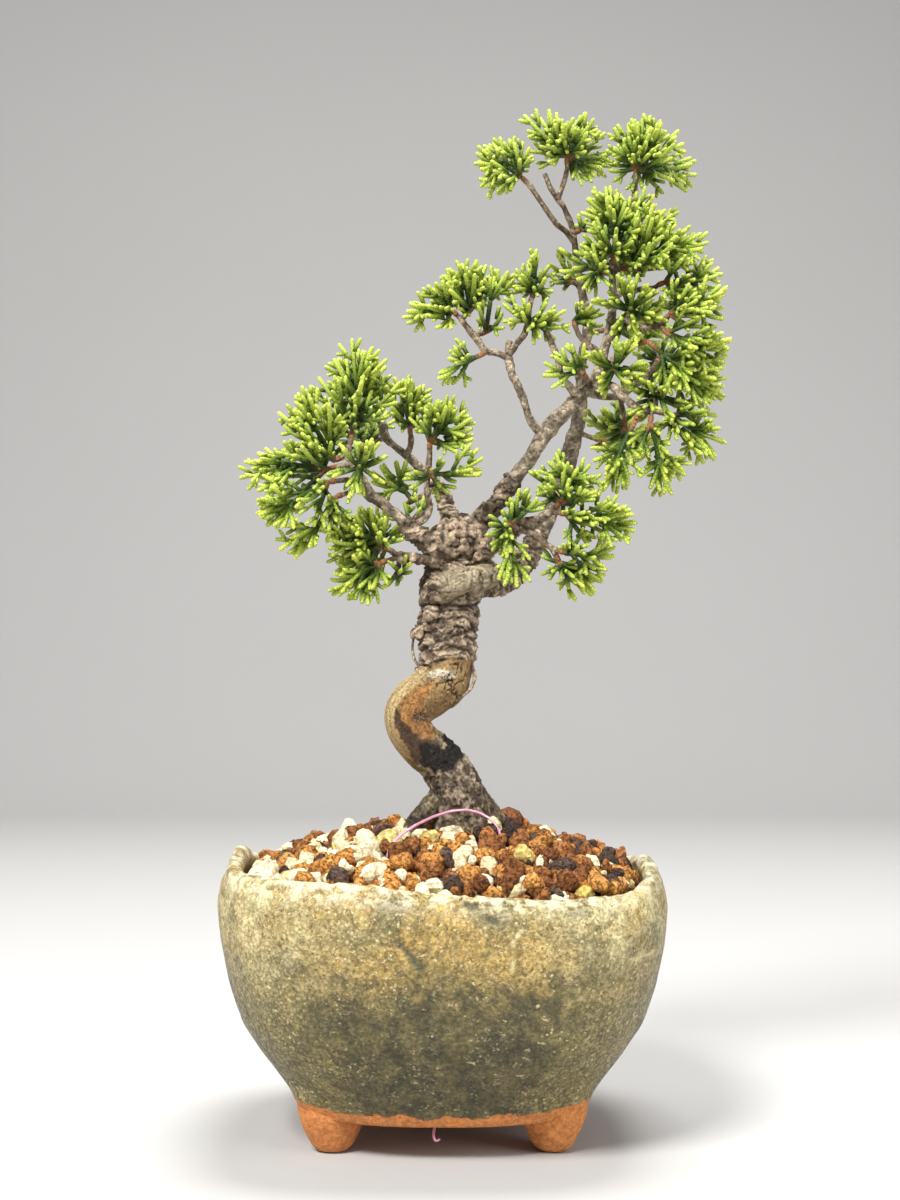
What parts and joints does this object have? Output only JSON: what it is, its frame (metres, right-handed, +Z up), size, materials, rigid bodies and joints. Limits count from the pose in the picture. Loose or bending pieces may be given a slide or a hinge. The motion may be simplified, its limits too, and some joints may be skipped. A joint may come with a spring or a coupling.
{
  "type": "juniper bonsai in pot",
  "caption": "Small juniper bonsai with a twisted trunk and forked foliage sprays in a squarish glazed clay pot with granular soil.",
  "frame": {"origin": "on the ground at the centre of the footprint of the whole plant and pot", "axes": "+Z up, +X to the right of the pictured front, +Y away from the viewer"},
  "size_m": [0.1114, 0.0966, 0.2274],
  "materials": {
    "glaze": "mottled olive and ochre glaze over unglazed orange clay feet",
    "soil": "matt baked clay and pumice grains",
    "mesh": "matt black",
    "wire": "pink anodised",
    "bark": "rough flaking bark",
    "leaf": "satin scale leaves"
  },
  "bodies": {
    "root": {"drain_mesh": "mesh", "pot": "glaze", "soil": "soil", "spray_back_left": "leaf", "spray_back_low_right": "leaf", "spray_back_right": "leaf", "spray_back_upper": "leaf", "spray_centre": "leaf", "spray_centre_back": "leaf", "spray_centre_low": "leaf", "spray_front_right_hang": "leaf", "spray_front_right_low": "leaf", "spray_front_right_mid": "leaf", "spray_front_right_near": "leaf", "spray_front_right_top": "leaf", "spray_inner_back": "leaf", "spray_inner_fan": "leaf", "spray_inner_right": "leaf", "spray_inner_sprig": "leaf", "spray_left_behind": "leaf", "spray_left_crown": "leaf", "spray_left_hanging": "leaf", "spray_left_inner": "leaf", "spray_left_outer": "leaf", "spray_left_outer_low": "leaf", "spray_left_right": "leaf", "spray_left_sprig": "leaf", "spray_left_upper": "leaf", "spray_low_left": "leaf", "spray_low_left_back": "leaf", "spray_low_left_right": "leaf", "spray_low_left_top": "leaf", "spray_low_right_down": "leaf", "spray_low_right_outer": "leaf", "spray_low_right_sprig": "leaf", "spray_mid_left": "leaf", "spray_mid_low_sprig": "leaf", "spray_mid_right_sprig": "leaf", "spray_mid_top": "leaf", "spray_right_long": "leaf", "spray_right_low": "leaf", "spray_right_mid": "leaf", "spray_right_upper": "leaf", "spray_top_bud": "leaf", "spray_top_centre": "leaf", "spray_top_left": "leaf", "spray_top_right": "leaf", "spray_under_limb": "leaf", "spray_upper_crown": "leaf", "spray_upper_left": "leaf", "spray_upper_right": "leaf", "tie_wire": "wire", "trunk": "bark"}
  },
  "joints": []
}
